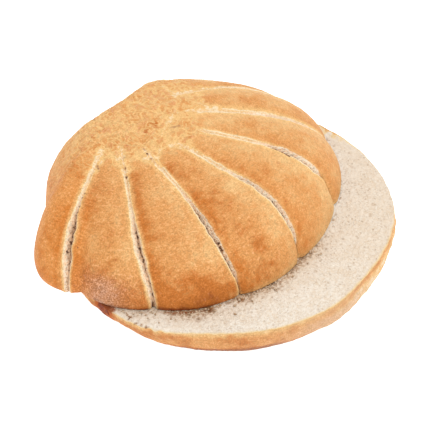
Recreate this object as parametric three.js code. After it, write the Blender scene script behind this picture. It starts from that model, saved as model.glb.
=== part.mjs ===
import * as THREE from "three";

// A white bread roll baked in the shape of a scallop shell, scored on top and cut level in two.
// The fan's round edge faces -Y and its hub lies towards +Y, near a straight back edge.
// The top half has slid back on the bottom half, so the cut face shows along the front and the right.
// Millimetres, +Z up. The origin is on the table, under the middle of the bottom half.

// Bottom half: a level slab with a rounded lower edge
const bottomHeight = 15;
const bottomHalfWidth = 79.5;
const bottomHalfLength = 75.5;
const bottomBackEdge = 62;
const bottomCentre = new THREE.Vector2(-0.5, 1.6);
const sideBulge = 1.4;
const baseInset = 1.5;

// Where its outline swells out or is pressed in, where its base is tucked further under, and where its side
// bulges less: the middle in degrees, the spread in radians and how far in millimetres
const rimSwells = [
  { at: -44.4, spread: 0.45, by: 3.5 },
  { at: -95, spread: 0.2, by: 1.2 },
  { at: -137.3, spread: 0.27, by: -1.9 },
];
const baseTucks = [
  { at: -180, spread: 0.55, by: 14.5 },
  { at: -167, spread: 0.13, by: 5 },
  { at: -104, spread: 0.39, by: 2.5 },
];
const bulgeLosses = [{ at: -15, spread: 0.9, by: 1.35 }];

// Top half: a low dome in plan like a fan, with a straight back edge and two sloping shoulders
const topHeight = 34.8;
const topHalfWidth = 80.6;
const topHalfLength = 70.9;
const topBackEdge = 57.1;
const shoulderSlope = 1.09;
const shoulderReach = 100.5;
const hub = new THREE.Vector2(-8.8, 35.3);
const edgeHeight = 21.1;
const edgeWidth = 33.9;
const edgeRaiseBack = 0.18;
const edgeDropRight = 0.34;
const crownRise = 0.83;
const rimTuck = 1;
const rimTuckHeight = 7;

// How the top half lies on the bottom half
const slide = new THREE.Vector2(-4.8, 25);
const turn = THREE.MathUtils.degToRad(1.6);
const cutGap = 0.3;

// Scores: the direction of each one, in degrees, at four shares of the way from the hub to the rim,
// how far from the hub the blade went in, and how deep it cut
const scoreShares = [0.3, 0.6, 0.85, 1];
const scores = [
  { angles: [-175.6, -176.6, -176.3, -175.2], start: 28, depth: 3.6 },
  { angles: [-150.6, -149.4, -148.3, -145.8], start: 22, depth: 3.8 },
  { angles: [-119.3, -116.2, -115.9, -114.7], start: 36, depth: 4 },
  { angles: [-79.6, -80.1, -81.6, -85.5], start: 42, depth: 4 },
  { angles: [-48.7, -48.7, -50, -53.5], start: 50, depth: 3 },
  { angles: [-20.8, -20.8, -22.6, -22], start: 30, depth: 1.2 },
  { angles: [11, 9.6, 3.2, 1.3], start: 31, depth: 1 },
];
const scoreHalfWidth = 2;
const scoreRamp = 24;
const scoreRimFade = 0.5;

// The lobes between the scores, and the wing at each shoulder, in degrees round the rim
const lobeSwell = 2;
const lobePillow = 1.1;
const leftWing = { from: -204, to: -171.5, swell: 7.8 };
const rightWing = { from: 1.3, to: 56.9, swell: 3.6 };

// The dough's own unevenness
const waver = 0.5;
const corner = 20;

const crust = new THREE.MeshStandardMaterial({ color: 0xe29a58, roughness: 0.75, metalness: 0 });
const crumb = new THREE.MeshStandardMaterial({ color: 0xefdcc4, roughness: 0.95, metalness: 0 });

const radians = THREE.MathUtils.degToRad;
const clamp = THREE.MathUtils.clamp;
const smoothstep = THREE.MathUtils.smoothstep;

// A plan outline as a distance from its centre: the soft minimum of several edges, each given as a closeness.
function softOutline(closeness) {
  const sum = closeness.reduce((total, near) => total + Math.max(near, 0) ** corner, 0);
  return sum ** (-1 / corner);
}

// A closed skin, as a sphere's grid laid on another form.
// Its first column stands at share 0 around, its first row at the crown and its last under the piece.
function closedSkin(columns, rows, place) {
  const skin = new THREE.SphereGeometry(1, columns, rows);
  const uv = skin.getAttribute("uv");
  const position = skin.getAttribute("position");
  for (let i = 0; i < position.count; i += 1) {
    const row = Math.round((1 - uv.getY(i)) * rows);
    const column = Math.round(uv.getX(i) * columns - 1e-3) % columns;
    const point = place(column, row);
    position.setXYZ(i, point.x, point.y, point.z);
  }
  skin.computeVertexNormals();
  return skin;
}

// Gentle swells of the dough over the plan, between about -1 and 1.
function dough(x, y) {
  return 0.6 * Math.sin(x / 9 + 1.3) * Math.sin(y / 11 + 0.4) + 0.4 * Math.sin((x + y) / 6.5 + 2.1);
}

// Bottom half

// The sum of the swells of a list at an angle.
function swellAt(swells, angle) {
  return swells.reduce((total, swell) => {
    const turned = angle - radians(swell.at);
    const away = Math.atan2(Math.sin(turned), Math.cos(turned));
    return total + swell.by * Math.exp(-((away / swell.spread) ** 2));
  }, 0);
}

function bottomRim(angle) {
  const c = Math.cos(angle);
  const s = Math.sin(angle);
  const round = Math.hypot(c / bottomHalfWidth, s / bottomHalfLength);
  return softOutline([round, s / bottomBackEdge]) + swellAt(rimSwells, angle);
}

function bottomHalf(columns, faceRows, sideRows, baseRows) {
  const rows = faceRows + sideRows + baseRows;
  return closedSkin(columns, rows, (column, row) => {
    const angle = (column / columns) * 2 * Math.PI;
    const c = Math.cos(angle);
    const s = Math.sin(angle);
    const rim = bottomRim(angle);
    const inset = baseInset + swellAt(baseTucks, angle);
    const down = clamp((row - faceRows) / sideRows, 0, 1);
    const under = inset * (1 - Math.sqrt(1 - down ** 2.2));
    const bulge = sideBulge - swellAt(bulgeLosses, angle);
    let out = rim - under + bulge * Math.sin(Math.PI * down);
    out += waver * dough(rim * c, rim * s) * Math.sin(Math.PI * down);
    if (row < faceRows) out *= row / faceRows;
    if (row > faceRows + sideRows) out *= (rows - row) / baseRows;
    return new THREE.Vector3(
      bottomCentre.x + out * c,
      bottomCentre.y + out * s,
      (1 - down) * bottomHeight,
    );
  });
}

// Top half

// The lobes run from score to score, and a wing fills each shoulder.
const lastScore = scores.length - 1;
const rimAngles = scores.map((score) => radians(score.angles[3]));
const lobeEdges = [
  radians(leftWing.from),
  radians(leftWing.to),
  ...rimAngles.slice(1, lastScore),
  radians(rightWing.from),
  radians(rightWing.to),
];
const lobeSwells = [leftWing.swell, ...scores.slice(1).map(() => lobeSwell), rightWing.swell];
const swayEdges = [radians(leftWing.from), ...rimAngles, radians(rightWing.to)];

// The angle counted from the back edge round by the left, so that no lobe is split.
function fromBack(angle) {
  const turnShare = (angle - Math.PI / 2) / (2 * Math.PI);
  return angle - 2 * Math.PI * (Math.floor(turnShare) + 1);
}

// How round a lobe is at an angle, 0 at its edges and 1 between them, and how far it swells out.
function lobeAt(angle) {
  const wrapped = fromBack(angle);
  for (let i = 0; i + 1 < lobeEdges.length; i += 1) {
    const share = (wrapped - lobeEdges[i]) / (lobeEdges[i + 1] - lobeEdges[i]);
    if (share >= 0 && share <= 1) {
      const round = Math.max(Math.sin(Math.PI * share), 0) ** 0.7;
      return { round, swell: lobeSwells[i] * round };
    }
  }
  return { round: 0, swell: 0 };
}

// A score's direction at a share of the way to the rim: the cubic through its four angles.
function scoreAngle(score, share) {
  const at = Math.max(share, scoreShares[0]);
  return score.angles.reduce((total, angle, i) => {
    const others = scoreShares.filter((knot) => knot !== scoreShares[i]);
    const weight = others.reduce((part, knot) => (part * (at - knot)) / (scoreShares[i] - knot), 1);
    return total + radians(angle) * weight;
  }, 0);
}

// How far the scores on either side push an angle aside on its way from the rim to the hub.
function sway(angle, share) {
  const wrapped = fromBack(angle);
  const pushed = [0, ...scores.map((score, i) => scoreAngle(score, share) - rimAngles[i]), 0];
  for (let i = 0; i + 1 < swayEdges.length; i += 1) {
    const across = (wrapped - swayEdges[i]) / (swayEdges[i + 1] - swayEdges[i]);
    if (across >= 0 && across <= 1) return pushed[i] + across * (pushed[i + 1] - pushed[i]);
  }
  return 0;
}

function topRim(angle) {
  const c = Math.cos(angle);
  const s = Math.sin(angle);
  const lobe = lobeAt(angle);
  const round = Math.hypot(c / topHalfWidth, s / topHalfLength);
  const shoulder = (shoulderSlope * Math.abs(c) + s) / shoulderReach;
  const plain = softOutline([round, s / topBackEdge, shoulder]);
  const reach = plain + lobe.swell - 0.5 * lobeSwell;
  return new THREE.Vector2(reach * c, reach * s);
}

// Height of the plain dome at a share of the way from hub to rim.
function domeHeight(angle, reach, share) {
  const back = edgeRaiseBack * Math.max(Math.sin(angle), 0) ** 2;
  const right = edgeDropRight * Math.max(Math.cos(angle), 0) ** 3;
  const edge = edgeHeight * (1 + back - right);
  const width = Math.min(edgeWidth, 0.9 * reach);
  const inward = clamp(1 - ((1 - share) * reach) / width, 0, 1);
  const crown = Math.max(Math.cos((share * Math.PI) / 2), 0) ** crownRise;
  return edge * Math.sqrt(1 - inward ** 2.2) + (topHeight - edge) * crown;
}

// How deep the scores are cut at an angle and a share of the way to the rim.
function scoreCut(angle, share, reach) {
  const along = 1 - scoreRimFade * share ** 6;
  return scores.reduce((deepest, score, i) => {
    const begun = smoothstep(share * reach, score.start, score.start + scoreRamp);
    const turned = angle - rimAngles[i];
    const away = Math.abs(Math.atan2(Math.sin(turned), Math.cos(turned)));
    const across = (away * topHalfLength) / scoreHalfWidth;
    return Math.max(deepest, score.depth * begun * along * Math.max(1 - across ** 1.5, 0));
  }, 0);
}

function topSurface(angle, share) {
  const lobe = lobeAt(angle);
  const rim = topRim(angle + sway(angle, share)).sub(hub);
  const reach = rim.length();
  const step = 0.004;
  const low = Math.max(share - step, 0);
  const high = Math.min(share + step, 1);
  const rise = domeHeight(angle, reach, high) - domeHeight(angle, reach, low);
  const run = (high - low) * reach;
  const slope = Math.hypot(rise, run);
  const raised = smoothstep(share, 0.2, 0.6);
  const ends = Math.sin(Math.PI * clamp(share, 0, 1) ** 0.6);
  let lift = lobePillow * raised * (lobe.round - 0.5) * (1 - share ** 8);
  const flat = { x: hub.x + share * rim.x, y: hub.y + share * rim.y };
  lift += waver * ends * dough(flat.x, flat.y);
  lift -= scoreCut(angle, share, reach);
  let height = domeHeight(angle, reach, share) + (lift * run) / slope;
  let out = share * reach - (lift * rise) / slope;
  height = Math.max(height, 0);
  if (share === 1) height = 0;
  out -= rimTuck * Math.max(1 - height / rimTuckHeight, 0) ** 2 * share;
  rim.setLength(Math.max(out, 0)).add(hub);
  return new THREE.Vector3(rim.x, rim.y, height);
}

// Columns of the grid crowd together at each score and are even over the lobes between.
function topColumns(lobeColumns, backColumns) {
  const half = scoreHalfWidth / topHalfLength;
  const angles = [];
  rimAngles.forEach((rim, i) => {
    const next = i < lastScore ? rimAngles[i + 1] : rimAngles[0] + 2 * Math.PI;
    const fill = i < lastScore ? lobeColumns : backColumns;
    for (const part of [-0.45, 0, 0.45, 1]) angles.push(rim + part * half);
    for (let k = 1; k <= fill + 1; k += 1) {
      angles.push(rim + half + ((next - rim - 2 * half) * k) / (fill + 1));
    }
  });
  return angles;
}

function topHalf(domeRows, underRows) {
  const angles = topColumns(9, 31);
  const rows = domeRows + underRows;
  return closedSkin(angles.length, rows, (column, row) => {
    const angle = angles[column];
    if (row <= domeRows) return topSurface(angle, 1 - (1 - row / domeRows) ** 1.7);
    const rim = topSurface(angle, 1);
    const share = (rows - row) / underRows;
    return new THREE.Vector3(hub.x + share * (rim.x - hub.x), hub.y + share * (rim.y - hub.y), 0);
  });
}

const roll = new THREE.Group();

const bottom = new THREE.Mesh(bottomHalf(96, 2, 12, 2), crumb);
bottom.name = "bottom_half";
roll.add(bottom);

const top = new THREE.Mesh(topHalf(36, 2), crust);
top.name = "top_half";
top.position.set(slide.x, slide.y, bottomHeight + cutGap);
top.rotation.z = turn;
roll.add(top);

export default roll;
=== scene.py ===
import bpy
import numpy as np
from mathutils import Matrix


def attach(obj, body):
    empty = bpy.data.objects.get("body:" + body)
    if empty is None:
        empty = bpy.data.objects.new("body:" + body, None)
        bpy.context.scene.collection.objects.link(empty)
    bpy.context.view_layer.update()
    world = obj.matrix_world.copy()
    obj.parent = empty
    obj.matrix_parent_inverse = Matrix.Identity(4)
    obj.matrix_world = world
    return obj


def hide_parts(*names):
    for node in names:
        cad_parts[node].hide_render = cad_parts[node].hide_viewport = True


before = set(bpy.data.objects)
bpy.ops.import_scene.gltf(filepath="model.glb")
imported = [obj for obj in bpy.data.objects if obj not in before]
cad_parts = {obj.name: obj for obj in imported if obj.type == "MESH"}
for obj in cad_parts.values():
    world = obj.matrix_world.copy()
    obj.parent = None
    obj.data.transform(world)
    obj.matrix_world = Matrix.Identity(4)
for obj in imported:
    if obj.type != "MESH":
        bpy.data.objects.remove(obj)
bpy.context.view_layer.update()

# The camera
# It looks down on the roll across the left of its round edge, from about an arm's length,
# with the long lens of a table-top picture.
mm = 0.001
azimuth, elevation = np.radians(-45.0), np.radians(45.0)
distance, aim_height, aim_left, aim_below = 750.0, 15.0, 6.0, 0.1
level = np.cos(elevation)
back = np.array([np.sin(azimuth) * level, -np.cos(azimuth) * level, np.sin(elevation)])
right = np.array([np.cos(azimuth), np.sin(azimuth), 0.0])
up = np.cross(back, right)
aim = np.array([0.0, 0.0, aim_height]) - aim_left * right - aim_below * up
eye = aim + distance * back
lens = bpy.data.cameras.new("camera")
lens.sensor_width = 36.0
lens.lens = 131.9
lens.clip_start = 0.05
camera = bpy.data.objects.new("camera", lens)
turned = np.eye(4)
turned[:3, :3] = np.stack([right, up, back], axis=1)
turned[:3, 3] = eye * mm
camera.matrix_world = turned.T.tolist()
bpy.context.collection.objects.link(camera)
bpy.context.scene.camera = camera


# The bottom half
# The lower slice of the roll: a flat slab of cream crumb, cut level with a bread knife.
# A thin baked crust closes its side and its underside, and shows as a tan line round the cut face.
bottom_height = 15.0
bottom_half_width, bottom_half_length, bottom_back_edge = 79.5, 75.5, 62.0
bottom_centre = np.array([-0.5, 1.6])
# Uneven places round it, each with its middle in degrees, its spread in radians and its amount: the cut
# edge swells or is pressed in, the base tucks further under, and the side bulges less.
rim_swells = [(-44.4, 0.45, 3.5), (-95.0, 0.2, 1.2), (-137.3, 0.27, -1.9), (-168.0, 0.22, 1.7),
              (-12.0, 0.5, 0.8)]
base_tucks = [(-180.0, 0.55, 14.5), (-167.0, 0.13, 5.0), (-104.0, 0.39, 2.5)]
base_inset, side_bulge = 1.5, 1.4
bulge_loss = [(-15.0, 0.9, 1.35), (-168.0, 0.3, 1.3)]


def ease(value, low, high):
    """Rises from 0 at low to 1 at high along a smooth S."""
    share = np.clip((value - low) / (high - low), 0.0, 1.0)
    return share * share * (3.0 - 2.0 * share)


def bell(value, spread):
    """1 at zero, falling off evenly on both sides over about the spread."""
    return np.exp(-(value / spread) ** 2)


def soft_outline(*near, tightness=20):
    """Plan outline as a radius: the soft minimum of several edges, each given as a closeness."""
    return sum(np.maximum(edge, 0.0) ** tightness for edge in near) ** (-1 / tightness)


def swell_at(rows, angle):
    """Sum of soft swells, each given by its middle in degrees, its spread in radians and its height."""
    return sum(by * bell(np.angle(np.exp(1j * (angle - np.radians(at)))), spread) for at, spread, by in rows)


def ripple(points, length, seed, count=24):
    """Smooth unevenness: the sum of plane waves of about one length in random directions, mostly -1 to 1."""
    draw = np.random.default_rng(seed)
    way = draw.normal(size=(points.shape[-1], count))
    way *= 2.0 * np.pi / length * draw.uniform(0.6, 1.5, count) / np.linalg.norm(way, axis=0)
    return np.sin(points @ way + draw.uniform(0.0, 2.0 * np.pi, count)).sum(-1) / np.sqrt(count)


def holes(x, y, cell, share, seed, period=96, smallest=0.16, wider=0.34):
    """Round holes, at most one to each square of a net: 1 in a hole's middle, falling to 0 at its edge."""
    table = np.random.default_rng(seed).uniform(size=(period, period, 4))
    column, row = np.floor(x / cell).astype(int), np.floor(y / cell).astype(int)
    deepest = np.zeros_like(x)
    for across in (-1, 0, 1):
        for along in (-1, 0, 1):
            spot = table[(column + across) % period, (row + along) % period]
            wide = smallest + wider * spot[..., 2] ** 2
            dx = x / cell - column - across - spot[..., 0]
            dy = y / cell - row - along - spot[..., 1]
            near = 1.0 - (dx * dx + dy * dy) / wide ** 2
            deepest = np.maximum(deepest, np.where(spot[..., 3] < share, near, 0.0))
    return deepest


def lay_mesh(name, points, faces, finishes, finish_of, marks, sharp):
    """A smooth mesh from points in millimetres and lists of faces, each with the number of its finish.

    It carries a value a point for each mark, and is sharp along the edges between two sharp points.
    """
    mesh = bpy.data.meshes.new(name)
    mesh.vertices.add(len(points))
    mesh.vertices.foreach_set("co", (points * mm).ravel())
    sizes = np.concatenate([np.full(len(part), part.shape[1]) for part in faces])
    corners = np.concatenate([part.ravel() for part in faces])
    mesh.loops.add(len(corners))
    mesh.loops.foreach_set("vertex_index", corners)
    mesh.polygons.add(len(sizes))
    mesh.polygons.foreach_set("loop_start", np.cumsum(sizes) - sizes)
    mesh.polygons.foreach_set("material_index", finish_of)
    mesh.polygons.foreach_set("use_smooth", np.ones(len(sizes), bool))
    mesh.update(calc_edges=True)
    mesh.validate()
    for mark, values in marks.items():
        mesh.attributes.new(mark, "FLOAT", "POINT").data.foreach_set("value", values.astype(np.float32))
    ends = np.empty(2 * len(mesh.edges), int)
    mesh.edges.foreach_get("vertices", ends)
    folded = sharp[ends.reshape(-1, 2)].all(1)
    mesh.attributes.new("sharp_edge", "BOOLEAN", "EDGE").data.foreach_set("value", folded)
    for finish in finishes:
        mesh.materials.append(finish)
    piece = bpy.data.objects.new(name, mesh)
    bpy.context.collection.objects.link(piece)
    return piece


class Wire:
    """An output socket of a node. Sums, differences and products of wires add Math nodes."""

    def __init__(self, socket):
        self.socket = socket

    def node(self, kind, settings, inputs, output=0):
        """Adds a node of a kind to the wire's own tree, sets it, feeds its sockets and gives one output."""
        tree = self.socket.id_data
        made = tree.nodes.new(kind)
        for key, value in settings.items():
            setattr(made, key, value)
        for key, value in inputs.items():
            if isinstance(value, Wire):
                tree.links.new(value.socket, made.inputs[key])
            else:
                made.inputs[key].default_value = value
        return Wire(made.outputs[output])

    def math(self, operation, first, second):
        """A Math node of two wires or numbers."""
        return self.node("ShaderNodeMath", {"operation": operation}, {0: first, 1: second})

    def __add__(self, other):
        return self.math("ADD", self, other)

    def __sub__(self, other):
        return self.math("SUBTRACT", self, other)

    def __rsub__(self, other):
        return self.math("SUBTRACT", other, self)

    def __mul__(self, other):
        return self.math("MULTIPLY", self, other)

    __radd__, __rmul__ = __add__, __mul__

    def step(self, low, high):
        """Rises from 0 at low to 1 at high along a smooth S."""
        return self.node("ShaderNodeMapRange", {"interpolation_type": "SMOOTHSTEP"},
                         {"Value": self, "From Min": low, "From Max": high})

    def over(self, under, colour):
        """A colour laid over another one where this wire is 1."""
        return self.node("ShaderNodeMix", {"data_type": "RGBA"}, {0: self, 6: under, 7: colour}, 2)

    def shade(self, colour):
        """A colour made darker or lighter, by as many times as this wire says."""
        return self.node("ShaderNodeMix", {"data_type": "RGBA", "blend_type": "MULTIPLY"},
                         {0: 1.0, 6: colour, 7: self}, 2)

    def noise(self, size, detail=2.0, twist=0.0):
        """Noise on this wire's coordinates, about 0 on average, with lumps of about a size in millimetres."""
        lumps = {"Vector": self, "Scale": 1.0 / (size * mm), "Detail": detail, "Distortion": twist}
        return self.node("ShaderNodeTexNoise", {}, lumps) - 0.5

    def dots(self, size, spread):
        """Soft round dots in cells of about a size in millimetres, each of its own width: 1 in the middle."""
        cells = {"Vector": self, "Scale": 1.0 / (size * mm)}
        away = self.node("ShaderNodeTexVoronoi", {}, cells, "Distance")
        width = self.node("ShaderNodeTexVoronoi", {}, cells, "Color")
        return (width * 0.9 + spread - away).step(0.0, 0.16)

    def mark(self, name):
        """The value that the mesh carries at each point under a name."""
        return self.node("ShaderNodeAttribute", {"attribute_name": name}, {}, 2)


def tint(red, green, blue, dimmed=0.75):
    """The linear colour for a shader that looks like an everyday 0 to 255 colour in the scene's light."""
    part = np.array([red, green, blue]) / 255.0
    linear = np.where(part <= 0.04045, part / 12.92, ((part + 0.055) / 1.055) ** 2.4)
    return (*(dimmed * linear).tolist(), 1.0)


def new_finish(name):
    """An empty material: its shader and the wire of its object coordinates."""
    finish = bpy.data.materials.new(name)
    finish.use_nodes = True
    shader = finish.node_tree.nodes["Principled BSDF"]
    place = Wire(finish.node_tree.nodes.new("ShaderNodeTexCoord").outputs["Object"])
    return finish, shader, place


def feed(shader, colour, roughness, height, depth):
    """Feeds a shader its colour, its roughness and a bump of a depth in millimetres."""
    links = shader.id_data.links
    links.new(colour.socket, shader.inputs["Base Color"])
    links.new(roughness.socket, shader.inputs["Roughness"])
    bump = height.node("ShaderNodeBump", {}, {"Height": height, "Distance": depth * mm, "Strength": 1.0})
    links.new(bump.socket, shader.inputs["Normal"])


def crumb_finish():
    """Cut crumb: cream, dull and fibrous, with pores darkened as painted shade, and tan where the thin crust is
    cut through.
    """
    finish, shader, place = new_finish("crumb")
    strand = place.noise(1.1, 3.0, 1.0)
    cloud = place.noise(7.0, 2.0)
    near = place.mark("edge_shade_and_specks")
    warm = place.mark("warm")
    ragged = strand * 0.4 + cloud * 0.3 + near * 0.22 + warm * 0.07
    speck = place.dots(1.5, ragged - 0.42)
    blot = place.dots(3.4, ragged - 0.5)
    gap = place.noise(1.5, 2.0, 0.6) + place.noise(4.0) * 0.6 + near * 0.28
    pore = place.mark("pore")
    # Cream, warmer on the right, and painted light beside the top half there, against the shade of its edge
    colour = (strand * 1.5 + cloud * 0.5).step(-0.38, 0.25).over(tint(239, 219, 194), tint(254, 244, 229))
    colour = (warm * 0.3).over(colour, tint(234, 206, 174))
    colour = (place.mark("painted_light") * 0.7).over(colour, tint(255, 250, 240))
    # Painted shade close to the top half: tan, with brown gaps between the grains; then blots and specks all
    # over
    colour = ((near + strand).step(0.1, 1.0) * 0.45).over(colour, tint(224, 182, 130))
    colour = (gap.step(0.13, 0.33) * near * 0.9).over(colour, tint(160, 112, 70))
    colour = (blot * (near * 0.2 + warm * 0.17 + 0.2)).over(colour, tint(196, 158, 116))
    colour = (speck * (near * 0.1 + warm * 0.08 + 0.29)).over(colour, tint(182, 144, 106))
    height = strand * 1.4 - speck * 0.3 - gap.step(0.0, 0.4) * near * 0.5
    # Cut crust along the edge, then pores and pits darkened as painted shade, then scorch and painted contact
    # shade
    rind = place.mark("rind") + place.noise(4.0) * 0.5 + strand * 0.3
    colour = rind.step(0.1, 0.7).over(colour, tint(250, 222, 172))
    colour = (rind.step(0.75, 1.25) * 0.8).over(colour, tint(234, 174, 108))
    colour = (pore.step(0.1, 0.9) * 0.7).over(colour, tint(176, 122, 70))
    colour = (pore.step(0.65, 1.0) * 0.8).over(colour, tint(118, 70, 34))
    scorch_and_contact_shade = place.mark("scorch_and_contact_shade") + strand * 0.8
    colour = (scorch_and_contact_shade.step(0.15, 0.7) * 0.85).over(colour, tint(178, 96, 38))
    colour = ((scorch_and_contact_shade + gap).step(0.5, 1.3) * 0.8).over(colour, tint(146, 62, 14))
    feed(shader, colour, place.noise(2.0) * 0.1 + 0.9, height, 0.5)
    shader.inputs["Specular IOR Level"].default_value = 0.2
    return finish


def crust_finish():
    """Baked crust: gold mottled with brown, floured, pale and torn in the scores, with painted shade in them,
    darkest at their bottom.
    """
    finish, shader, place = new_finish("crust")
    grain = place.noise(0.7, 2.0)
    across = place.node("ShaderNodeCombineXYZ", {}, {"X": place.mark("out"), "Y": place.mark("round")})
    streak = across.noise(1.1, 3.0, 0.4)
    fleck = place.noise(1.4, 2.0)
    mottle = place.noise(4.0, 2.0)
    patch = place.noise(15.0, 2.0)
    flaky = place.mark("flaky")
    # Pale gold to brown, as far as it is baked
    bake_and_shading = place.mark("bake_and_shading") + patch * 1.2 + mottle * (flaky + 0.8)
    bake_and_shading = bake_and_shading + fleck * (flaky * 0.8 + 0.6) - streak * 0.3
    colour = bake_and_shading.step(-0.6, 0.55).over(tint(245, 201, 138), tint(228, 159, 91))
    colour = bake_and_shading.step(0.45, 1.05).over(colour, tint(202, 118, 47))
    colour = bake_and_shading.step(1.1, 1.9).over(colour, tint(140, 66, 22))
    colour = (place.mark("golden") * 0.5).over(colour, tint(236, 146, 60))
    # Pale lips and creases, a pale net where the skin is flaky, and in the same mark a painted highlight along
    # the lip crests and painted light low at the rim on the right
    net = place.noise(3.8, 1.0, 0.8)
    ragged = flaky * 0.7 + 0.3
    marked = place.mark("pale_and_highlight")
    pale_and_highlight = marked + (mottle * 0.5 + fleck * 0.6) * ragged
    pale_and_highlight = pale_and_highlight + (0.9 - (net * net).step(0.0, 0.012)) * flaky * (0.67 - marked * 0.2)
    colour = (pale_and_highlight.step(0.05, 0.9) * 0.8).over(colour, tint(248, 204, 136))
    colour = ((pale_and_highlight - flaky * 0.28).step(0.7, 1.3) * 0.9).over(colour, tint(253, 230, 192))
    # Flour, and the light grain of the skin
    dust = place.mark("flour") + (grain + fleck) * 0.8 + flaky * net * 1.2
    colour = (dust.step(0.1, 1.0) * 0.5).over(colour, tint(228, 190, 172))
    light = (grain + fleck * 0.6 + streak * 0.5) * place.mark("coarse")
    colour = (place.mark("dull") * 0.45).over((light * 0.7 + 1.0).shade(colour), tint(214, 174, 136))
    colour = (light.step(0.0, 0.5) * (0.3 - bake_and_shading.step(0.4, 1.1) * 0.2)).over(colour, tint(252, 222, 186))
    # The torn walls of the scores, painted shade inside them and darkest along their bottom, and what is
    # scorched
    torn = place.mark("torn")
    speck = place.noise(0.9, 2.0).step(0.0, 0.16) * torn.step(0.5, 0.9)
    wall = (fleck * 1.6 + grain).step(-0.3, 0.3).over(tint(255, 212, 172), tint(255, 240, 212))
    wall = (speck * 0.35).over(wall, tint(170, 104, 62))
    colour = (torn + fleck * 0.3).step(0.05, 0.5).over(colour, wall)
    slit_shade = place.mark("slit_shade")
    colour = ((slit_shade + fleck * 1.2).step(0.2, 0.6) * 0.75).over(colour, tint(190, 140, 98))
    deepest = slit_shade + place.noise(1.8) * 2.4 + fleck * 0.8
    colour = (deepest.step(0.65, 0.95) * 0.9).over(colour, tint(88, 50, 32))
    scorch_and_contact_shade = place.mark("scorch_and_contact_shade")
    colour = ((scorch_and_contact_shade + fleck).step(0.15, 0.7) * 0.9).over(colour, tint(190, 92, 24))
    colour = ((scorch_and_contact_shade + fleck * 3.0 + mottle * 2.0).step(0.6, 1.6) * 0.85).over(colour, tint(120, 36, 0))
    height = grain * 0.5 + fleck * 0.6 + streak * 0.4 + mottle * 0.8 - speck * 0.6
    feed(shader, colour, place.noise(6.0) * 0.2 + 0.62, height, 0.35)
    shader.inputs["Specular IOR Level"].default_value = 0.15
    return finish


crust, crumb = crust_finish(), crumb_finish()


def bottom_rim(angle):
    """Radius of the cut edge: an ellipse cut off by a straight back edge, with its uneven places."""
    c, s = np.cos(angle), np.sin(angle)
    plain = soft_outline(np.hypot(c / bottom_half_width, s / bottom_half_length), s / bottom_back_edge)
    return plain + swell_at(rim_swells, angle)


def rim_wave(angle):
    """How far the cut edge strays from the plain outline: it wavers and dips, most where it is torn."""
    ring = np.stack([np.cos(angle), np.sin(angle)], -1) * bottom_half_width
    torn = 0.25 + swell_at([(-158.0, 0.4, 0.75)], angle)
    inward = torn * (0.35 * ripple(ring, 13.0, 6) + 0.3 * ripple(ring, 5.0, 7)) - 0.2
    dip = torn * (0.4 * ripple(ring, 9.0, 8) + 0.3 * ripple(ring, 4.0, 9) - 0.5)
    return np.stack([inward * np.cos(angle), inward * np.sin(angle), np.minimum(dip, 0.1)], -1)


def bottom_side(angle, down):
    """Crust of the side from the cut edge, down 0, to the base, down 1: it bulges, then tucks under."""
    under = base_inset + swell_at(base_tucks, angle)
    bulge = side_bulge - swell_at(bulge_loss, angle)
    out = bottom_rim(angle) - under * (1.0 - np.sqrt(1.0 - down ** 2.2)) + bulge * np.sin(np.pi * down)
    height = (1.0 - down) * bottom_height + 0.0 * out
    points = np.stack([out * np.cos(angle), out * np.sin(angle), height], -1)
    uneven = 0.4 * ripple(points, 26.0, 3) + 0.2 * ripple(points, 7.0, 4) + 0.1 * ripple(points, 3.0, 5)
    points[..., :2] *= 1.0 + (np.sin(np.pi * down) ** 0.5 * uneven / out)[..., None]
    points += rim_wave(angle) * (1.0 - ease(down, 0.0, 0.35))[..., None]
    points[..., :2] += bottom_centre
    return points


# The top half lies on the cut face, slid back and turned a little. Its outline in plan is an ellipse
# cut off by its back edge and two sloping shoulders, swollen lobe by lobe between the scores.
slide, turn = np.array([-4.8, 25.0]), np.radians(1.6)
turn_plan = np.array([[np.cos(turn), np.sin(turn)], [-np.sin(turn), np.cos(turn)]])
top_half_width, top_half_length, top_back_edge = 80.6, 70.9, 57.1
shoulder_slope, shoulder_reach, lobe_swell, lobe_roundness = 1.09, 100.5, 2.0, 0.7
lobe_edges = np.radians([-204.0, -171.5, -145.8, -114.7, -85.5, -53.5, -22.0, 1.3, 56.9])
lobe_swells = np.array([7.8, 2.0, 2.0, 1.5, 1.0, 2.0, 2.0, 3.6])


def wrap(angle):
    """The angle counted from the back edge round by the left, so that no lobe is split."""
    return (angle - np.pi / 2) % (2 * np.pi) - 1.5 * np.pi


def between(edges, angle):
    """Which stretch between two edges an angle falls in, and its share of the way across it, 0 to 1."""
    wrapped = wrap(angle)
    stretch = np.clip(np.searchsorted(edges, wrapped, side="right") - 1, 0, len(edges) - 2)
    across = (wrapped - edges[stretch]) / (edges[stretch + 1] - edges[stretch])
    return stretch, np.clip(across, 0.0, 1.0)


def top_rim(angle):
    """Rim of the top half in plan, from its own centre: the plain outline with a rounded swell a lobe."""
    c, s = np.cos(angle), np.sin(angle)
    shoulder = (shoulder_slope * np.abs(c) + s) / shoulder_reach
    plain = soft_outline(np.hypot(c / top_half_width, s / top_half_length), s / top_back_edge, shoulder)
    lobe, across = between(lobe_edges, angle)
    reach = plain + lobe_swells[lobe] * np.sin(np.pi * across) ** lobe_roundness - 0.5 * lobe_swell
    return np.stack([reach * c, reach * s], -1)


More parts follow.
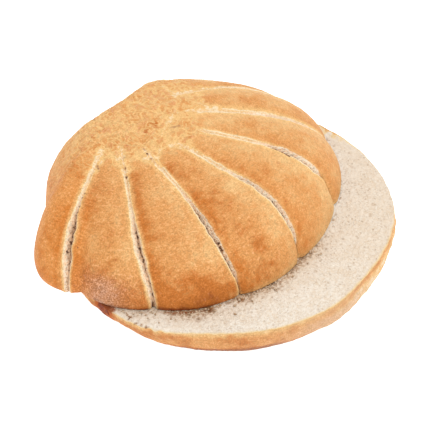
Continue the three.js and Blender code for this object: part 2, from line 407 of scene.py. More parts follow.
# The cut face is a square net drawn out to the round outline, closest where it shows: in front and
# on the right.
cells, crowd_right, crowd_front = 240, 0.12, 0.25
line = np.linspace(-1.0, 1.0, cells + 1)
bowed = 1.0 - line * line
u, v = np.meshgrid(line + crowd_right * bowed, line - crowd_front * bowed)
wide = np.abs(u) >= np.abs(v)
with np.errstate(divide="ignore", invalid="ignore"):
    from_side = np.pi / 4 * v / u + np.pi * (u < 0)
    from_back = np.pi / 2 - np.pi / 4 * u / v + np.pi * (v < 0)
bearing = np.nan_to_num(np.where(wide, from_side, from_back))
out = np.maximum(np.abs(u), np.abs(v))
radius = bottom_rim(bearing)
reach = out * radius
face = np.stack([reach * np.cos(bearing), reach * np.sin(bearing), np.full_like(u, bottom_height)], -1)
to_edge = (1.0 - out) * radius
face += rim_wave(bearing) * (1.0 - ease(to_edge, 0.0, 2.5))[..., None]
face[..., :2] += bottom_centre
face_x, face_y = face[..., 0], face[..., 1]
inner = ease(to_edge, 0.0, 3.0)

# How far beyond the top half's edge each place lies, and how much that edge shades it.
under_top = (face[..., :2] - slide) @ turn_plan.T
beyond = np.hypot(*np.moveaxis(under_top, -1, 0))
beyond -= np.linalg.norm(top_rim(np.arctan2(under_top[..., 1], under_top[..., 0])), axis=-1)
shaded = np.exp(-np.maximum(beyond, 0.0) / (7.0 + 5.0 * ease(face_x, 0.0, 50.0)))

# Pores: out of round, and more of them along the top half's edge. The pits, there and in the torn rim on
# the left, are each given by their place, their spread and their strength.
# In the finish the same values darken the crumb: painted shade in the hollows.
pore_depth = 0.55
x = face_x + 0.5 * ripple(face, 2.4, 15)
y = face_y + 0.5 * ripple(face, 2.4, 16)
pore = inner * (0.15 + 0.6 * shaded) * holes(x, y, 2.6, 0.06 + 0.5 * shaded, 11)
pits = [(-48.2, -36.6, 1.9, 1.0), (-33.9, -42.1, 1.5, 0.95), (-35.6, -42.4, 1.3, 0.9), (-25.9, -43.1, 1.0, 0.9),
        (-52.1, -36.0, 0.7, 0.8), (-16.4, -44.6, 0.9, 0.9), (-10.3, -46.0, 1.2, 0.75), (-0.1, -44.9, 0.9, 0.9),
        (4.7, -44.2, 0.9, 0.8), (-20.5, -44.5, 0.9, 0.7), (-28.5, -48.4, 0.9, 0.55), (-17.4, -49.7, 1.1, 0.4),
        (-2.7, -59.1, 0.8, 0.5), (6.0, -60.5, 0.9, 0.45), (-5.9, -45.6, 0.9, 0.7),
        (-77.5, -18.9, 0.9, 0.9), (-76.4, -21.4, 0.7, 1.1), (-77.7, -16.6, 0.6, 0.7), (-75.9, -24.2, 0.8, 1.0),
        (-74.5, -15.5, 0.8, 0.6), (-71.0, -19.0, 0.8, 0.6), (-77.3, -9.9, 0.8, 1.4), (-77.1, -14.3, 0.8, 1.3),
        (-76.3, -12.2, 0.7, 1.1)]
for pit_x, pit_y, spread, strength in pits:
    pore = np.maximum(pore, strength * bell(np.hypot(x - pit_x, y - pit_y), spread))
face[..., 2] -= pore_depth * pore
face[..., 2] += inner * (0.15 * ripple(face, 11.0, 13) + 0.1 * ripple(face, 2.2, 14) - 0.1)

# Its faces: the net, then rings down the side and in under the base, to a fan round the middle of the base.
index = np.arange((cells + 1) ** 2).reshape(cells + 1, cells + 1)
face_quads = np.stack([index[:-1, :-1], index[:-1, 1:], index[1:, 1:], index[1:, :-1]], -1).reshape(-1, 4)
around = np.concatenate([index[0, :-1], index[:-1, -1], index[-1, :0:-1], index[:0:-1, 0]])
side_rows = 28
down = (np.arange(1, side_rows + 1) / side_rows)[:, None]
side = bottom_side(bearing.ravel()[around][None, :] + 0.0 * down, down + 0.0 * around)
base = np.stack([side[-1] * [share, share, 1.0] for share in (0.8, 0.4)])
rings = np.concatenate([side, base])
ring = index.size + np.arange(rings.shape[0] * around.size).reshape(rings.shape[0], around.size)
ring = np.concatenate([around[None], ring])
turned_ring = np.roll(ring, -1, axis=1)
side_quads = np.stack([ring[:-1], ring[1:], turned_ring[1:], turned_ring[:-1]], -1).reshape(-1, 4)
middle = index.size + rings.shape[0] * around.size
base_fan = np.stack([ring[-1], np.full(around.size, middle), turned_ring[-1]], -1)
points = np.concatenate([face.reshape(-1, 3), rings.reshape(-1, 3), [[0.0, 0.0, 0.0]]])

# The side is palest along the cut and on the right, and floury in front. Painted shade browns it towards the
# base, where it meets the table, and most in a thin band low down in front.
ring_bearing = np.broadcast_to(bearing.ravel()[around], rings.shape[:2])
ring_down = np.clip(np.arange(1, rings.shape[0] + 1) / side_rows, 0.0, 1.0)[:, None] + 0.0 * ring_bearing
on_right = swell_at([(-74.0, 0.5, 1.0)], ring_bearing)
floury = swell_at([(-94.0, 0.36, 1.0)], ring_bearing)
side_bake_and_shade = 0.69 + 0.3 * ease(ring_down, 0.8, 1.0) - 0.6 * on_right * ease(ring_down, 0.1, 0.26)
side_bake_and_shade += 0.07 * ripple(rings, 12.0, 17) + 0.05 * ripple(rings, 5.0, 18)
# Painted shade: a dark band low down in front, along the foot of the side.
side_bake_and_shade += swell_at([(-136.0, 0.12, 0.6), (-135.0, 0.5, 1.5)], ring_bearing) * ease(ring_down, 0.54, 0.76)
side_pale = 0.85 * (1.0 - ease(ring_down, 0.0, 0.25)) * (1.0 - 0.7 * on_right)
rind_loss, thin_rind = [(-166.0, 0.32, 0.35)], [(-30.0, 0.4, 0.8)]
side_pale *= 1.0 - swell_at(rind_loss, ring_bearing)
side_pale += 1.05 * on_right * ease(ring_down, 0.1, 0.28)
side_pale *= 1.0 + 0.3 * ripple(rings, 7.0, 19)


def over_bottom(on_face, on_rings, at_middle):
    """One value for each point of the bottom half: its cut face, then its side and base, then the middle."""
    return np.concatenate([np.ravel(on_face), np.ravel(on_rings), [at_middle]])


# What the finishes read on the cut face: its rind, thin or frayed in places, a scorched place on the left
# that runs on down the side, and along the top half's edge specks with painted shade, a painted brown
# contact shade on the left and painted light on the right.
nothing, no_side = np.zeros_like(u), np.zeros_like(ring_down)
rind = (1.0 - swell_at(rind_loss + thin_rind, bearing)) * np.exp(-to_edge / 0.8)
frayed = swell_at([(2.5, 0.12, 1.2)], bearing) * bell(to_edge, 4.5)
rind += frayed * np.maximum(0.6 + 0.6 * ripple(face, 4.5, 20), 0.0)
scorch = [(-178.2, 0.065, 1.7)]
scorch_and_contact_shade = swell_at(scorch, bearing) * bell(to_edge, 5.0)
# Painted contact shade: a brown band just beyond the top half's edge, on the left.
scorch_and_contact_shade += 0.5 * bell(beyond - 0.3, 1.0) * inner * bell(face_x + 58.0, 12.0)
# Painted shade and more specks along the top half's edge, weaker to the right, at one place in front and far
# left.
edge_shade_and_specks = inner * shaded * (1.0 - 0.2 * ease(face_x, -40.0, -15.0) - 0.5 * ease(face_x, 0.0, 40.0))
edge_shade_and_specks *= 1.0 - 0.6 * bell(np.hypot(face_x + 41.2, face_y + 39.6), 5.0)
edge_shade_and_specks *= 1.0 - 0.5 * ease(-face_x, 57.0, 68.0)
side_burnt = swell_at(scorch, ring_bearing) * (1.0 - ease(ring_down, 0.5, 0.95))
streak_stretch = 3.0
off_front = np.abs(np.angle(np.exp(1j * (ring_bearing + np.pi / 2))))
side_round = bottom_half_width * off_front * mm / streak_stretch
bottom_marks = {
    "pore": over_bottom(pore, no_side, 0.0),
    "scorch_and_contact_shade": over_bottom(scorch_and_contact_shade, side_burnt, 0.0),
    "edge_shade_and_specks": over_bottom(edge_shade_and_specks, no_side, 0.0),
    "warm": over_bottom(ease(face_x, -30.0, 45.0), no_side, 0.0),
    # Painted light on the cut face beside the top half's edge on the right, against its shade.
    "painted_light": over_bottom(ease(face_x, 0.0, 40.0) * np.exp(-np.maximum(beyond, 0.0) / 4.0), no_side, 0.0),
    "rind": over_bottom(rind, no_side + 1.0, 1.0),
    "bake_and_shading": over_bottom(nothing + 0.3, side_bake_and_shade, 0.5),
    "pale_and_highlight": over_bottom(nothing + 0.8, side_pale, 0.0),
    "flour": over_bottom(nothing, 0.9 * floury * ease(ring_down, 0.1, 0.3) - 0.1, 0.3),
    "dull": over_bottom(nothing, 0.35 - 0.2 * on_right + 0.85 * floury, 0.5),
    "golden": over_bottom(nothing, no_side + 0.15, 0.0),
    "coarse": over_bottom(nothing, no_side + 1.2, 1.0),
    "torn": over_bottom(nothing, no_side, 0.0),
    "slit_shade": over_bottom(nothing, no_side, 0.0),
    "flaky": over_bottom(nothing, no_side + 0.2, 0.2),
    "out": over_bottom(nothing, rings[..., 2] * mm, 0.0),
    "round": over_bottom(nothing, side_round, 0.0),
}
at_rim = np.zeros(len(points), bool)
at_rim[around] = True
finish_of = np.concatenate([np.ones(len(face_quads), int), np.zeros(len(side_quads) + len(base_fan), int)])
bottom_half = lay_mesh("bottom_half_bread", points, [face_quads, side_quads, base_fan], [crust, crumb],
                       finish_of, bottom_marks, at_rim)
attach(bottom_half, "root")
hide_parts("bottom_half")


# The top half
# The scored crown of the roll: a fan of lobes that swelled between the cuts of a blade as it baked.
# It only lies on the bottom half, slid back towards the hub of the shell.
top_height, hub = 34.8, np.array([-8.8, 35.3])
edge_height, edge_width, edge_raise_back, edge_drop_right, crown_rise = 21.1, 33.9, 0.18, 0.34, 0.83
rim_tuck, rim_tuck_height, lobe_pillow = 1.0, 7.0, 1.1
score_shares = np.array([0.3, 0.6, 0.85, 1.0])
score_angles = np.radians([
    [-175.6, -176.6, -176.3, -175.2], [-150.6, -149.4, -148.3, -145.8], [-119.3, -116.2, -115.9, -114.7],
    [-79.6, -80.1, -81.6, -85.5], [-48.7, -48.7, -50.0, -53.5], [-20.8, -20.8, -22.6, -22.0],
    [11.0, 9.6, 3.2, 1.3]])
score_rim = score_angles[:, 3]
# Of each score: where from the hub it starts, opens and gapes widest, half its width when shallow, at its
# widest and at the rim, its depth where it gapes, how far its bottom lies off its middle, and the share of
# the way to the rim where it has closed again.
score_runs = [
    (24.0, 55.0, 69.0, 0.6, 1.8, 1.7, 1.8, 0.4, 1.2),
    (21.0, 60.0, 77.0, 0.6, 1.8, 1.4, 1.3, 0.4, 1.2),
    (27.0, 58.0, 78.0, 0.7, 1.5, 0.9, 1.6, -0.6, 1.0),
    (33.0, 62.0, 80.0, 0.8, 1.5, 0.9, 1.5, -0.6, 1.0),
    (38.0, 70.0, 82.0, 0.9, 1.9, 1.6, 1.5, -0.5, 0.935),
    (33.0, 66.0, 76.0, 1.2, 1.3, 0.9, 0.9, -0.6, 1.2),
    (31.0, 60.0, 80.0, 0.7, 0.7, 0.4, 0.5, 0.0, 1.2),
]
# Also of each score: how pale its lips are and how far that reaches on its far side, how deep the rim is
# notched at its foot, how dark its painted shade is along the bottom and in the whole opening, and the gold
# beside it.
lip_glow = [0.55, 0.6, 0.75, 0.8, 0.8, 0.75, 0.8]
far_glow = [1.0, 1.0, 0.4, 0.4, 0.4, 2.4, 1.2]
foot_notch = [-0.9, 0.8, 0.4, 1.3, 1.3, 0.6, 0.3]
tear_shade = [0.4, 0.5, 0.6, 0.55, 0.5, 0.4, 0.3]
opening_shade = [0.5, 0.4, 0.25, 0.2, 0.1, 0.0, 0.0]
side_gold = [0.8, 0.2, 0.3, 0.3, 0.0, 0.0, 0.0]
# The lobes lie between the scores, and the round head of each starts this far from the hub.
sway_edges = np.concatenate([lobe_edges[:1], score_rim, lobe_edges[-1:]])
lobe_heads = np.array([38.0, 31.0, 33.0, 34.5, 40.0, 38.0, 43.0, 46.0])


def score_angle(angles, share):
    """A score's direction at a share of the way to the rim: the cubic through its four angles."""
    at = np.maximum(share, score_shares[0])
    turned_to = 0.0
    for angle, knot in zip(angles, score_shares):
        others = score_shares[score_shares != knot]
        turned_to = turned_to + angle * np.prod([(at - other) / (knot - other) for other in others], axis=0)
    return turned_to


def sway(angle, share):
    """How far the scores on either side push an angle aside on its way from the rim to the hub."""
    pushes = [score_angle(row, share) - row[3] for row in score_angles]
    pushed = np.stack([0.0 * share, *pushes, 0.0 * share])
    stretch, across = between(sway_edges, angle)
    low = np.take_along_axis(pushed, stretch[None], 0)[0]
    high = np.take_along_axis(pushed, stretch[None] + 1, 0)[0]
    return low + across * (high - low)


def top_plan(angle, share):
    """Place in plan, from the hub: a share of the way to the rim, at the angle that the scores push it to."""
    return share[..., None] * (top_rim(angle + sway(angle, share)) - hub)


def dome_height(angle, reach, share):
    """Height of the plain dome: a rounded edge below a low crown that rises towards the hub."""
    edge = edge_height * (1.0 + edge_raise_back * np.maximum(np.sin(angle), 0.0) ** 2
                          - edge_drop_right * np.maximum(np.cos(angle), 0.0) ** 3)
    inward = np.clip(1.0 - (1.0 - share) * reach / np.minimum(edge_width, 0.9 * reach), 0.0, 1.0)
    crown = np.maximum(np.cos(share * np.pi / 2), 0.0) ** crown_rise
    return edge * np.sqrt(1.0 - inward ** 2.2) + (top_height - edge) * crown


def dough(x, y):
    """Gentle swells of the dough over the plan: the product of two crossing waves, and one slanting wave."""
    return 0.6 * np.sin(x / 9 + 1.3) * np.sin(y / 11 + 0.4) + 0.4 * np.sin((x + y) / 6.5 + 2.1)


# The net runs out from the hub, with its columns crowded at the scores and its rows at the rim.
crowd, at_score, columns_a_radian = 3.4 / top_half_length, 26, 76
row_count, row_crowding = 146, 1.4
columns = []
for start, end in zip(score_rim, np.append(score_rim[1:], score_rim[0] + 2 * np.pi)):
    gap = end - start - 2.0 * crowd
    columns.append(start + crowd * np.linspace(-1.0, 1.0, at_score, endpoint=False))
    spaced = np.linspace(0.0, 1.0, int(gap * columns_a_radian), endpoint=False)
    columns.append(start + crowd + gap * spaced)
columns = np.concatenate(columns)
rows = 1.0 - (1.0 - np.arange(1, row_count + 1) / row_count) ** row_crowding
angle = columns[None, :] + 0.0 * rows[:, None]
share = rows[:, None] + 0.0 * angle
rounded = np.sin(np.pi * between(lobe_edges, angle)[1]) ** lobe_roundness
plan = top_plan(angle, share)
plan_x, plan_y = hub[0] + plan[..., 0], hub[1] + plan[..., 1]
reach = np.linalg.norm(plan, axis=-1) / share
from_hub = share * reach
nudge = 0.004
low, high = np.maximum(share - nudge, 0.0), np.minimum(share + nudge, 1.0)
rise = dome_height(angle, reach, high) - dome_height(angle, reach, low)
run = (high - low) * reach
slope = np.hypot(rise, run)
lift = lobe_pillow * ease(share, 0.2, 0.6) * (rounded - 0.5) * (1.0 - share ** 8)
lift += 0.5 * np.sin(np.pi * share ** 0.6) * dough(plan_x, plan_y)

# The lobes are fingers with round heads, and inside the heads the skin at the hub is creased.
finger, finger_across = between(sway_edges, angle)
finger_round = np.sin(np.pi * finger_across) ** 0.6
head_depth = 9.0
head = from_hub - lobe_heads[finger] - head_depth * (1.0 - finger_round)
wavy = 1.5 * ripple(plan, 9.0, 31)
on_finger = ease(head + wavy, -2.0, 4.0)
on_finger = np.where(finger == 0, ease(from_hub, 15.0, 60.0), on_finger)
crease = bell(ripple(plan, 15.0, 32), 0.2) * (1.0 - on_finger) * ease(ripple(plan, 20.0, 33), -0.6, 0.5)
web = (finger > 0) * bell(head + 3.0 + wavy, 2.2) * ease(ripple(plan, 16.0, 34), -0.9, 0.3)
hub_skin = 0.15 * ripple(plan, 8.0, 35) + 0.1 * ripple(plan, 3.2, 36)
lift += (1.0 - on_finger) * hub_skin * ease(from_hub, 0.0, 2.0)
lift -= 0.45 * crease + 0.4 * web

# Creases at the hub, where the dough was drawn together: places in plan, half width and strength of each.
creases = [
    ([(-3.8, 11.0), (0.5, 12.6), (5.4, 14.9), (10.8, 17.0)], 1.3, 0.9),
    ([(10.8, 17.0), (16.4, 19.2), (21.1, 21.8), (22.0, 26.1), (22.8, 31.1)], 1.0, 0.7),
    ([(-3.8, 11.0), (-8.6, 10.9), (-13.2, 10.2), (-16.8, 9.3)], 1.0, 0.7),
    ([(2.4, 37.7), (5.1, 35.0), (6.1, 30.5)], 0.8, 0.6),
    ([(-0.6, 29.8), (-1.7, 24.8), (-0.7, 20.7)], 0.7, 0.5),
    ([(4.2, 10.3), (6.8, 7.1), (8.6, 3.7)], 1.1, 0.7),
    ([(-22.7, 19.2), (-23.8, 16.7), (-25.2, 13.9)], 1.3, 0.9),
    ([(-34.8, 22.6), (-30.5, 23.1), (-26.8, 22.9)], 1.5, 0.7),
    ([(-4.3, 2.7), (-7.8, 3.7), (-12.2, 2.6), (-16.3, 1.1)], 0.9, 0.6),
    ([(-12.1, 29.5), (-9.0, 27.3), (-6.9, 24.0)], 0.6, 0.6),
    ([(24.2, 37.2), (24.1, 33.7), (24.5, 29.3), (26.4, 27.1), (28.6, 25.8)], 1.1, 0.9),
    ([(13.7, 16.6), (16.7, 15.3), (19.2, 13.9)], 1.0, 0.6),
    ([(-20.7, 35.5), (-17.1, 35.2), (-14.8, 33.4)], 0.7, 0.5),
    ([(3.8, 25.3), (5.7, 22.6), (5.7, 18.5)], 0.7, 0.5),
    ([(-13.4, 22.7), (-13.3, 18.8), (-14.8, 14.6)], 0.8, 0.6),
]


def off_line(points, line):
    """Distance in plan from a line through several places."""
    nearest = np.full(points.shape[:-1], 1e3)
    for start, end in zip(np.array(line)[:-1], np.array(line)[1:]):
        run = end - start
        along = np.clip((points - start) @ run / (run @ run), 0.0, 1.0)
        nearest = np.minimum(nearest, np.linalg.norm(points - start - along[..., None] * run, axis=-1))
    return nearest


drawn = hub + plan + 0.5 * np.stack([ripple(plan, 5.0, 37), ripple(plan, 5.0, 38)], -1)
fold = np.zeros_like(share)
for line, half, strength in creases:
    fold = np.maximum(fold, strength * bell(off_line(drawn, line), half))
lift -= 0.4 * fold

# Each score is a rough V between raised lips, with a thin tear along its bottom. It starts as a shallow
# pale line and gapes further out.
torn, slit_shade, lip, edge, beside, notch, gilt = np.zeros((7, *share.shape))
for number, (start, opens, gape, shallow, widest, at_edge, depth, lean, closes) in enumerate(score_runs):
    rim_angle = score_rim[number]
    middle_line = top_plan(rim_angle + 0.0 * rows, rows)
    aside = np.linalg.norm(plan - middle_line[:, None, :], axis=-1) * np.sign(angle - rim_angle)
    aside += 0.18 * ripple(plan, 9.0, 41 + number) + 0.08 * ripple(plan, 3.0, 51 + number)
    near = np.where(np.cos(angle - rim_angle) > 0.8, 1.0, 0.0)
    knots = [start, start + 6.0, opens, gape, np.linalg.norm(middle_line[-1])]
    shown = near * ease(from_hub, start - 3.0, start + 6.0)
    uneven = np.clip(1.0 + 0.15 * ripple(plan, 7.0, 61 + number), 0.7, 1.3)
    closing = ease(share, closes - 0.045, closes)
    open_half = np.interp(from_hub, knots, [0.3, shallow, shallow, widest, at_edge]) * uneven
    open_half *= 1.0 - 0.75 * closing
    deep = np.interp(from_hub, knots, [0.0, 0.3, 0.5 * min(depth, 1.2), depth, 0.6 * depth]) * uneven
    off_bottom = aside / open_half - lean
    off_bottom = np.abs(off_bottom) / np.where(off_bottom < 0.0, 1.0 + lean, 1.0 - lean)
    cut = shown * np.maximum(1.0 - off_bottom ** 1.3, 0.0)
    gaping = ease(from_hub, opens - 8.0, gape) * min(depth / 1.5, 1.0)
    tear = shown * bell(aside - lean * open_half, 0.34 + 0.16 * open_half)
    lift -= deep * cut + 0.4 * tear * gaping
    lift += near * bell(np.abs(aside) - 1.3 * open_half, 0.8) * np.clip(0.15 * deep, 0.0, 0.3)
    notch += foot_notch[number] * near * bell(aside, 1.8) * ease(share, 0.9, 1.0)
    # What the finish reads: the torn walls, the painted shade along the bottom and in the opening, the pale
    # lips with a painted highlight on their edge, and the crust beside them
    torn = np.maximum(torn, np.minimum(1.8 * cut, 1.0) * (0.25 + 0.75 * gaping) * (1.0 - closing))
    slit_shade = np.maximum(slit_shade, tear * (0.15 + gaping * (tear_shade[number] + 0.35 * bell(from_hub - gape, 9.0))))
    foot_fade = 1.0 - 0.45 * ease(share, 0.85, 0.96)
    slit_shade = np.maximum(slit_shade, foot_fade * opening_shade[number] * gaping * np.minimum(1.5 * cut, 1.0))
    outside = np.maximum(np.abs(aside) - open_half, 0.0)
    far_side, far = aside > 0.0, far_glow[number]
    glow = np.where(far_side, 0.9 * (1.0 - (1.0 - min(far, 1.0)) * gaping), 1.0) * lip_glow[number] * shown
    lip_wide = np.where(far_side, 0.6 + 1.6 * far, 2.8) * (1.0 - 0.5 * ease(share, 0.75, 0.95))
    lip = np.maximum(lip, glow * bell(outside, lip_wide))
    # The lip edge: a painted highlight along the crest of each lip.
    fading = shown * np.where(far_side, 0.8 * (1.0 - (1.2 - min(far, 1.0)) * gaping), 1.0 - 0.6 * closing)
    fading *= 1.0 - 0.6 * ease(share, 0.92, 1.0)
    edge = np.maximum(edge, fading * bell(np.abs(aside) - open_half, np.where(far_side, 0.4, 0.7)))
    darker = 0.3 * bell(aside - 4.0, 3.2) * ease(from_hub, start + 5.0, start + 35.0)
    beside += shown * (darker - 0.2 * bell(aside + 6.0, 4.0))
    gilt += side_gold[number] * shown * bell(aside - 4.5, 3.5) * ease(from_hub, start + 20.0, start + 45.0)

# The lift goes out square to the plain dome. The rim tucks under, and the skin is a little uneven.
height = np.maximum(dome_height(angle, reach, share) + lift * run / slope, 0.0)
height[-1] = 0.0
outward = share * reach - lift * rise / slope
past_front = ease(wrap(angle), np.radians(-125.0), np.radians(-105.0))
tuck = rim_tuck * (1.0 - 0.8 * past_front)
outward -= tuck * np.maximum(1.0 - height / rim_tuck_height, 0.0) ** 2 * share + notch
way = plan / from_hub[..., None]
dome = np.concatenate([hub + outward[..., None] * way, height[..., None]], -1)
wrinkled = np.stack([from_hub, angle * from_hub / 5.0], -1)
skin = 0.07 * on_finger * ripple(wrinkled, 2.6, 25) * ease(ripple(plan, 22.0, 26), -0.3, 0.6)
skin += 0.1 * ripple(dome, 7.0, 21) + 0.06 * ripple(dome, 2.8, 22) + 0.3 * torn * ripple(dome, 1.6, 24)
dome[..., 2] += skin * (1.0 - ease(share, 0.93, 1.0)) * ease(from_hub, 0.0, 1.0)

# The cut floor closes it below, a hair above the cut face that it lies on.
floor_gap = 0.3
floor_shares = np.array([0.97, 0.9, 0.78, 0.62, 0.44, 0.22])[:, None, None]
floor_plan = hub + floor_shares * (dome[-1, :, :2] - hub)
floor_rings = np.concatenate([floor_plan, np.zeros_like(floor_plan[..., :1])], -1)
rings = np.concatenate([dome, floor_rings])
points = np.concatenate([rings.reshape(-1, 3), [[hub[0], hub[1], top_height], [hub[0], hub[1], 0.0]]])
points[:, :2] = points[:, :2] @ turn_plan + slide
points[:, 2] += bottom_height + floor_gap
ring = np.arange(rings.shape[0] * columns.size).reshape(rings.shape[0], columns.size)
turned_ring = np.roll(ring, -1, axis=1)
skin_quads = np.stack([ring[:-1], ring[1:], turned_ring[1:], turned_ring[:-1]], -1).reshape(-1, 4)
crown, root = ring.size, ring.size + 1
crown_fan = np.stack([np.full(columns.size, crown), ring[0], turned_ring[0]], -1)
root_fan = np.stack([ring[-1], np.full(columns.size, root), turned_ring[-1]], -1)

# Small holes torn open here and there along the scores, painted as dark shade, not cut: place in plan and width
# of each. Then two short tears, painted the same way: places in plan, half width and strength of each.
holes_torn = [(-16.0, 9.4, 0.6), (-17.2, 6.2, 0.6), (-18.0, 2.8, 0.6), (-26.1, 12.2, 0.5), (-30.0, 7.7, 0.5),
              (-33.5, 3.4, 0.7), (-37.9, 18.1, 0.7), (-38.7, 16.6, 0.6), (-63.3, -42.7, 0.6),
              (-27.9, -49.7, 0.7), (-28.5, -51.4, 0.7), (-28.6, -52.8, 0.6), (-53.1, 10.5, 0.5),
              (-55.2, 9.8, 0.5), (-59.0, 7.8, 0.5), (-61.6, 6.3, 0.5)]
for hole_x, hole_y, spread in holes_torn:
    slit_shade = np.maximum(slit_shade, 1.3 * bell(np.hypot(plan_x - hole_x, plan_y - hole_y), spread))
tears = [([(3.4, 10.8), (5.3, 9.9), (7.0, 9.0)], 1.0, 0.6),
         ([(30.1, -28.5), (32.0, -32.1), (33.3, -37.3)], 0.6, 0.85)]
for line, half, strength in tears:
    slit_shade = np.maximum(slit_shade, strength * bell(off_line(hub + plan, line), half))

# Where the crust baked darker or stayed paler: place in plan, width and strength of each spot.
spots = [(-12.0, -60.3, 4.0, 0.5), (-2.3, -65.2, 2.5, 0.3), (-34.1, -44.3, 2.5, 0.3), (16.1, -37.0, 4.0, 0.35),
         (23.3, -48.0, 3.0, 0.3), (34.6, -11.4, 3.0, 0.4), (47.3, 4.3, 4.0, 0.4), (33.3, 17.6, 3.0, 0.45),
         (-6.2, 17.3, 2.5, 0.5), (-14.6, -7.5, 6.0, 0.15), (-12.4, -40.3, 4.5, 0.25), (-3.8, -34.0, 5.0, -0.4),
         (-0.6, 17.7, 2.2, 0.4), (8.4, 15.2, 2.0, 0.4), (-12.8, 13.3, 2.4, 0.4),
         (41.2, -26.8, 5.0, -0.25), (36.0, 15.5, 4.0, 0.3), (50.5, 1.0, 4.0, 0.25),
         (-17.8, -67.0, 6.0, -0.08)]

# How far it is baked, lobe by lobe. Browner low down in front on the left: deeper bake and painted shade of
# the lower sides. A painted contact shade at the foot of the rim, and painted light low at the rim on the
# right.
hub_bake, full_bake = 0.32, 0.9
finger_bake = np.array([0.58, 0.48, 0.43, 0.42, 0.23, 0.17, 0.07, 0.05])
past_hub = finger_bake[finger] - hub_bake + 0.3 * (finger > 0) * (0.5 - finger_across)
bake_and_shading = hub_bake + past_hub * on_finger + beside
bake_and_shading += ease(height, 22.0, 3.0) * (0.2 * ease(-wrap(angle), 1.1, 1.9) + 1.1 * bell(angle + 2.3, 0.38))
for spot_x, spot_y, spread, strength in spots:
    bake_and_shading += strength * bell(np.hypot(plan_x - spot_x, plan_y - spot_y), spread)
bake_and_shading = np.where(bake_and_shading > full_bake, full_bake + 0.4 * (bake_and_shading - full_bake), bake_and_shading)
# Painted contact shade along the foot of the rim, strongest in front on the left.
bake_and_shading += ease(height, 2.6, 0.3) * (0.05 + 0.95 * bell(angle + 2.5, 0.3))
# Painted light: paler low at the rim on the right, against the shade there.
to_right = past_front * ease(-wrap(angle), 0.6, 0.9)
bake_and_shading -= 0.25 * to_right * ease(height, 6.0, 1.0)

# Where it is pale, with a painted highlight on the lip crests and painted light low at the rim on the right,
# and where it is floured, golden, flaky and coarse, and the net of its streaks.
pale_and_highlight = lip + 0.7 * edge + 0.4 * crease + 0.5 * web + 0.9 * fold + 0.5 * to_right * ease(height, 4.0, 0.6)
on_far_side = ease(wrap(angle), np.radians(-40.0), np.radians(-15.0))
pale_and_highlight = np.minimum(pale_and_highlight, 0.82 + 0.23 * on_far_side + 0.7 * on_finger)
floured = bell(np.hypot(plan_x + 74.0, plan_y + 23.0), 13.0) * ease(height, 19.0, 10.0)
flour = 0.3 * (1.0 - on_finger) - 0.25
flour += 0.78 * floured
bake_and_shading += 0.3 * floured
golden = np.maximum(0.8 * on_finger * (finger == 0), gilt)
on_left_wing = (finger == 0) * ease(-wrap(angle), np.radians(176.0), np.radians(192.0))
flaky = 1.0 - on_finger + 0.25 * on_finger * on_left_wing
coarse = 0.9 + 0.3 * on_finger - 0.3 * ease(plan_x, -20.0, 30.0) + 1.3 * floured
off_middle = np.abs(np.angle(np.exp(1j * (angle - score_rim[3]))))
round_hub = from_hub * off_middle * mm / streak_stretch
under_rings, bare = np.zeros(floor_rings.shape[:2]), np.zeros_like(share)


def over_top(on_dome, on_floor):
    """One value for each point of the top half: its dome, then its cut floor, then the crown and the root."""
    dome_values, floor_values = np.ravel(on_dome), np.ravel(under_rings + on_floor)
    return np.concatenate([dome_values, floor_values, [dome_values[0], on_floor]])


top_marks = {
    "pore": over_top(bare, 0.2),
    "scorch_and_contact_shade": over_top(bare, 0.0),
    "edge_shade_and_specks": over_top(bare, 0.3),
    "warm": over_top(bare, 0.3),
    "painted_light": over_top(bare, 0.0),
    "rind": over_top(bare, 0.0),
    "bake_and_shading": over_top(bake_and_shading, 0.3),
    "pale_and_highlight": over_top(pale_and_highlight, 0.0),
    "flour": over_top(flour, 0.0),
    "torn": over_top(torn, 0.0),
    "slit_shade": over_top(slit_shade, 0.0),
    "flaky": over_top(flaky, 0.0),
    "dull": over_top(0.5 * floured, 0.0),
    "golden": over_top(golden, 0.0),
    "coarse": over_top(coarse, 1.0),
    "out": over_top(from_hub * mm, 0.0),
    "round": over_top(round_hub, 0.0),
}
at_rim = np.zeros(len(points), bool)
at_rim[ring[len(rows) - 1]] = True
last_dome = (len(rows) - 1) * columns.size
finish_of = np.concatenate([(np.arange(len(skin_quads)) >= last_dome).astype(int), np.zeros(columns.size, int),
                            np.ones(columns.size, int)])
top_half = lay_mesh("top_half_bread", points, [skin_quads, crown_fan, root_fan], [crust, crumb], finish_of,
                    top_marks, at_rim)
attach(top_half, "root")
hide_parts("top_half")


# The loose crumbs
# Bits that broke off as the roll was cut and pulled apart: small torn lumps, cream to brown.
# They lie on the cut face, most of them close along the top half's edge.
crumb_count, keep_off_rim = 150, 3.0
draw = np.random.default_rng(71)
crumb_bearing = np.radians(draw.uniform(-165.0, -75.0, crumb_count))
crumb_size = draw.uniform(0.2, 0.45, crumb_count) + 0.4 * draw.uniform(size=crumb_count) ** 4
crumb_gap = 0.1 + draw.exponential(1.2, crumb_count)
crumb_plan = top_rim(crumb_bearing)
crumb_plan *= 1.0 + (crumb_gap / np.linalg.norm(crumb_plan, axis=-1))[:, None]
crumb_plan = crumb_plan @ turn_plan + slide
from_middle = crumb_plan - bottom_centre
rim_there = bottom_rim(np.arctan2(from_middle[:, 1], from_middle[:, 0]))
on_face = np.linalg.norm(from_middle, axis=-1) < rim_there - keep_off_rim
crumb_at = np.concatenate([crumb_plan, (bottom_height + 0.4 * crumb_size)[:, None]], -1)[on_face]
crumb_size = crumb_size[on_face]
crumb_count = len(crumb_size)

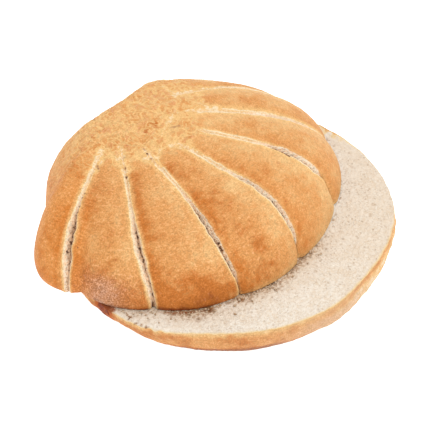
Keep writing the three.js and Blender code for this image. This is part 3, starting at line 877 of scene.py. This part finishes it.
# One lump: an eight-sided block with each side split in four, and its corners pulled in or out at random.
tips = np.concatenate([np.eye(3), -np.eye(3)])
sides = np.array([[0, 1, 2], [1, 3, 2], [3, 4, 2], [4, 0, 2], [1, 0, 5], [3, 1, 5], [4, 3, 5], [0, 4, 5]])
edges = np.array([[a, b] for a in range(6) for b in range(a + 1, 6) if b - a != 3])
middles = tips[edges].sum(1)
edge_at = np.zeros((6, 6), int)
edge_at[edges[:, 0], edges[:, 1]] = edge_at[edges[:, 1], edges[:, 0]] = 6 + np.arange(len(edges))
a, b, c = sides.T
ab, bc, ca = edge_at[a, b], edge_at[b, c], edge_at[c, a]
split = [(a, ab, ca), (b, bc, ab), (c, ca, bc), (ab, bc, ca)]
lump_faces = np.concatenate([np.stack(part, -1) for part in split])
lump = np.concatenate([tips, middles / np.sqrt(2.0)])
pulled = draw.uniform(0.65, 1.3, (crumb_count, len(lump), 1))
stretched = draw.uniform(0.7, 1.3, (crumb_count, 1, 3))
lumps = lump * pulled * stretched
points = (crumb_at[:, None] + lumps * crumb_size[:, None, None]).reshape(-1, 3)
faces = (lump_faces + len(lump) * np.arange(crumb_count)[:, None, None]).reshape(-1, 3)
crumb_brown = np.repeat(0.5 * draw.uniform(size=crumb_count) ** 2, len(lump))
plain = np.zeros(len(points))
crumb_marks = {"pore": crumb_brown, "scorch_and_contact_shade": plain, "edge_shade_and_specks": plain + 0.6, "warm": plain + 2.0,
               "painted_light": plain, "rind": plain}
crumbs = lay_mesh("loose_crumbs", points, [faces], [crumb], np.zeros(len(faces), int), crumb_marks, plain > 0.0)
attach(crumbs, "root")


# The table and the light
# A plain white light table that throws no shadow.
# A wide soft lamp hangs above it and to the right, in a white room.
table_mesh = bpy.data.meshes.new("table")
table_corners = [(-3.0, -3.0, 0.0), (3.0, -3.0, 0.0), (3.0, 3.0, 0.0), (-3.0, 3.0, 0.0)]
table_mesh.from_pydata(table_corners, [], [(0, 1, 2, 3)])
table = bpy.data.objects.new("table", table_mesh)
bpy.context.collection.objects.link(table)
table_finish, table_shader = new_finish("table")[:2]
table_shader.inputs["Base Color"].default_value = (0.5, 0.5, 0.5, 1.0)
table_shader.inputs["Roughness"].default_value = 0.9
table_shader.inputs["Emission Color"].default_value = (1.0, 1.0, 1.0, 1.0)
table_shader.inputs["Emission Strength"].default_value = 0.98
table_mesh.materials.append(table_finish)

room = bpy.data.worlds.new("room")
room.use_nodes = True
room.node_tree.nodes["Background"].inputs["Color"].default_value = (1.0, 1.0, 1.0, 1.0)
room.node_tree.nodes["Background"].inputs["Strength"].default_value = 1.05
bpy.context.scene.world = room

lamp_light = bpy.data.lights.new("lamp", "AREA")
lamp_light.shape = "DISK"
lamp_light.size = 0.9
lamp_light.energy = 4.5
lamp = bpy.data.objects.new("lamp", lamp_light)
lamp_at = np.array([0.1, -0.3, 1.0])
lamp.location = lamp_at.tolist()
toward = -lamp_at / np.linalg.norm(lamp_at)
lamp.rotation_euler = (np.arccos(-toward[2]), 0.0, np.arctan2(-toward[0], toward[1]))
bpy.context.collection.objects.link(lamp)
bpy.context.scene.view_settings.view_transform = "Standard"

bpy.context.view_layer.update()
